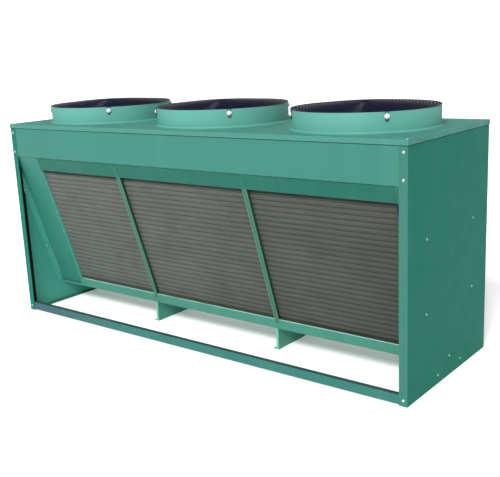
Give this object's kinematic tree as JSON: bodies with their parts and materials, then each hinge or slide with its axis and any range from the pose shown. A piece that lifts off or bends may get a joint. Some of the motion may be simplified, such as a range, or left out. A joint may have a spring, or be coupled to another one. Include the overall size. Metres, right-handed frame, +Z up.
{
  "type": "air-cooled condenser",
  "caption": "Free-standing air-cooled condenser: upright axial fans in rings on a steel cabinet draw air through two coils that slope inward to a tray.",
  "frame": {"origin": "on the floor under the middle of the cabinet, at the centre of the four anchor holes", "axes": "+X along the cabinet to the end without pipes, -Y the front, +Z up along the fan shafts"},
  "size_m": [2.9545, 0.939, 1.409],
  "materials": {
    "casing": "green enamel on sheet steel",
    "ring": "green enamel on spun steel",
    "inner_sheet": "thin green enamel",
    "galvanised": "galvanised sheet",
    "fins": "weathered fins with brown dust",
    "copper": "dull copper tube",
    "grommet": "matt rubber",
    "gland": "moulded plastic",
    "guard_wire": "dark coated wire",
    "motor": "dark grey paint",
    "shaft": "ground steel",
    "hub": "dark pressed steel",
    "blade": "mill finish sheet",
    "fastener": "zinc plate"
  },
  "bodies": {
    "cabinet": {"baffle_left": "inner_sheet", "baffle_right": "inner_sheet", "base_rail_front": "casing", "base_rail_rear": "casing", "bottom_tray": "casing", "cable_gland": "gland", "closure_strip_front_left": "casing", "closure_strip_front_right": "casing", "closure_strip_rear_left": "casing", "closure_strip_rear_right": "casing", "coil_top_band_front": "casing", "coil_top_band_rear": "casing", "divider_front_left": "casing", "divider_front_right": "casing", "divider_rear_left": "casing", "divider_rear_right": "casing", "end_liner_left": "inner_sheet", "end_liner_right": "inner_sheet", "end_panel_left": "casing", "end_panel_right": "casing", "fan_guard_1": "guard_wire", "fan_guard_2": "guard_wire", "fan_guard_3": "guard_wire", "fan_motor_1": "motor", "fan_motor_2": "motor", "fan_motor_3": "motor", "fascia_front": "casing", "fascia_rear": "casing", "fin_block_front": "fins", "fin_block_rear": "fins", "gas_manifold": "copper", "guard_bolts": "fastener", "liquid_manifold": "copper", "motor_bolts": "fastener", "motor_mount_1": "galvanised", "motor_mount_2": "galvanised", "motor_mount_3": "galvanised", "panel_screws": "fastener", "pipe_grommets": "grommet", "return_bends_front": "copper", "return_bends_rear": "copper", "support_leg_left": "casing", "support_leg_right": "casing", "top_panel": "casing", "tube_sheet_front_left": "galvanised", "tube_sheet_front_right": "galvanised", "tube_sheet_rear_left": "galvanised", "tube_sheet_rear_right": "galvanised", "venturi_ring_1": "ring", "venturi_ring_2": "ring", "venturi_ring_3": "ring"},
    "fan_1": {"motor_shaft_1": "shaft", "fan_hub_1": "hub", "fan_blades_1": "blade"},
    "fan_2": {"motor_shaft_2": "shaft", "fan_hub_2": "hub", "fan_blades_2": "blade"},
    "fan_3": {"motor_shaft_3": "shaft", "fan_hub_3": "hub", "fan_blades_3": "blade"}
  },
  "joints": [
    {"name": "fan_1_spin", "type": "hinge", "parent": "cabinet", "child": "fan_1", "pos_m": [-0.96333, 0, 1.312], "axis": [0, 0, 1], "continuous": true},
    {"name": "fan_2_spin", "type": "hinge", "parent": "cabinet", "child": "fan_2", "pos_m": [0, 0, 1.312], "axis": [0, 0, 1], "continuous": true},
    {"name": "fan_3_spin", "type": "hinge", "parent": "cabinet", "child": "fan_3", "pos_m": [0.96333, 0, 1.312], "axis": [0, 0, 1], "continuous": true}
  ]
}
